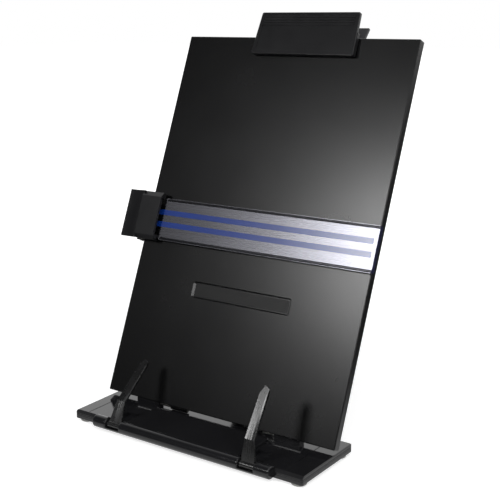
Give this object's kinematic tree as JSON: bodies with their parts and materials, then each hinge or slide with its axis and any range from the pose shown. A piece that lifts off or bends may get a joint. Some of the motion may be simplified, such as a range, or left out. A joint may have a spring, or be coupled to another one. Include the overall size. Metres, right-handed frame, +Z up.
{
  "type": "copy holder with line guide",
  "caption": "Desk copy holder: leaning folded-steel board on a flat base, with hinged page fingers, a top spring clip, a sliding line guide and a folding prop leg.",
  "frame": {"origin": "on the table, under the middle of the whole object's box, as it stands with the board leaning at 22.9 degrees", "axes": "+X to the user's right, +Y to the back, where the tail points, +Z up"},
  "size_m": [0.231, 0.2014, 0.3062],
  "materials": {
    "black_gloss_plastic": "moulded, polished",
    "black_satin_plastic": "moulded, satin",
    "grey_satin_plastic": "moulded, satin",
    "black_enamelled_steel": "stoved semi-gloss enamel",
    "bright_steel": "bright drawn, zinc plated",
    "grey_rubber": "moulded, matt",
    "black_rubber": "moulded, matt",
    "silver_white_plastic": "extruded, pearly",
    "blue_film": "printed film"
  },
  "bodies": {
    "base": {"base_upper_shell": "black_gloss_plastic", "base_lower_shell": "black_gloss_plastic", "page_ledge": "black_gloss_plastic", "base_feet": "grey_rubber", "base_screws": "bright_steel", "finger_rod": "bright_steel", "hinge_rod_left": "bright_steel", "hinge_rod_right": "bright_steel", "prop_rack": "black_satin_plastic", "rack_screws": "bright_steel"},
    "board": {"board_panel": "black_enamelled_steel", "hinge_bracket_left": "black_enamelled_steel", "hinge_bracket_right": "black_enamelled_steel", "prop_bracket": "black_enamelled_steel", "prop_leg_pin": "bright_steel"},
    "prop": {"prop_leg": "black_enamelled_steel", "prop_foot_rod": "bright_steel", "prop_foot_sleeve": "black_rubber"},
    "finger_left": {"page_finger_left": "black_satin_plastic"},
    "finger_right": {"page_finger_right": "black_satin_plastic"},
    "top_clip": {"top_clip_body": "black_satin_plastic", "top_clip_front_pad": "black_rubber", "top_clip_pin": "bright_steel", "top_clip_spring": "bright_steel"},
    "top_clip_grip": {"top_clip_lever": "grey_satin_plastic", "top_clip_rear_pad": "black_rubber"},
    "line_guide": {"guide_clip_body": "black_satin_plastic", "guide_front_pad": "black_rubber", "guide_clip_pin": "bright_steel", "guide_clip_spring": "bright_steel", "ruler": "silver_white_plastic", "ruler_stripes": "blue_film", "ruler_screws": "bright_steel"},
    "line_guide_grip": {"guide_clip_lever": "black_satin_plastic", "guide_rear_pad": "black_rubber"}
  },
  "joints": [
    {"name": "board_tilt", "type": "hinge", "parent": "base", "child": "board", "pos_m": [0.00855, -0.05105, 0.01089], "axis": [-1, 0, 0], "range_deg": [0, 67]},
    {"name": "prop_leg_swing", "type": "hinge", "parent": "board", "child": "prop", "pos_m": [0.00855, -0.02303, 0.07721], "axis": [1, 0, 0], "range_deg": [0, 134]},
    {"name": "page_finger_left_swing", "type": "hinge", "parent": "base", "child": "finger_left", "pos_m": [-0.05265, -0.0959, 0.0063], "axis": [-1, 0, 0], "range_deg": [-105, 17]},
    {"name": "page_finger_right_swing", "type": "hinge", "parent": "base", "child": "finger_right", "pos_m": [0.06975, -0.0959, 0.0063], "axis": [-1, 0, 0], "range_deg": [-87, 35]},
    {"name": "top_clip_slide", "type": "slide", "parent": "board", "child": "top_clip", "axis": [1, 0, 0], "range_m": [-0.066, 0.048]},
    {"name": "top_clip_squeeze", "type": "hinge", "parent": "top_clip", "child": "top_clip_grip", "pos_m": [0.01795, 0.06547, 0.29059], "axis": [1, 0, 0], "range_deg": [0, 18], "stiffness_Nm_per_rad": 0.15, "springref_deg": -34.38, "deforming": ["top_clip_spring"]},
    {"name": "line_guide_slide", "type": "slide", "parent": "board", "child": "line_guide", "axis": [0, 0.3891, 0.9212], "range_m": [-0.08, 0.115]},
    {"name": "line_guide_squeeze", "type": "hinge", "parent": "line_guide", "child": "line_guide_grip", "pos_m": [-0.10045, 0.00348, 0.14385], "axis": [0, 0.3891, 0.9212], "range_deg": [0, 18], "stiffness_Nm_per_rad": 0.15, "springref_deg": -34.38, "deforming": ["guide_clip_spring"]}
  ],
  "couplings": [
    {"joint": "prop_leg_swing", "follows": "board_tilt", "ratio": 2}
  ]
}
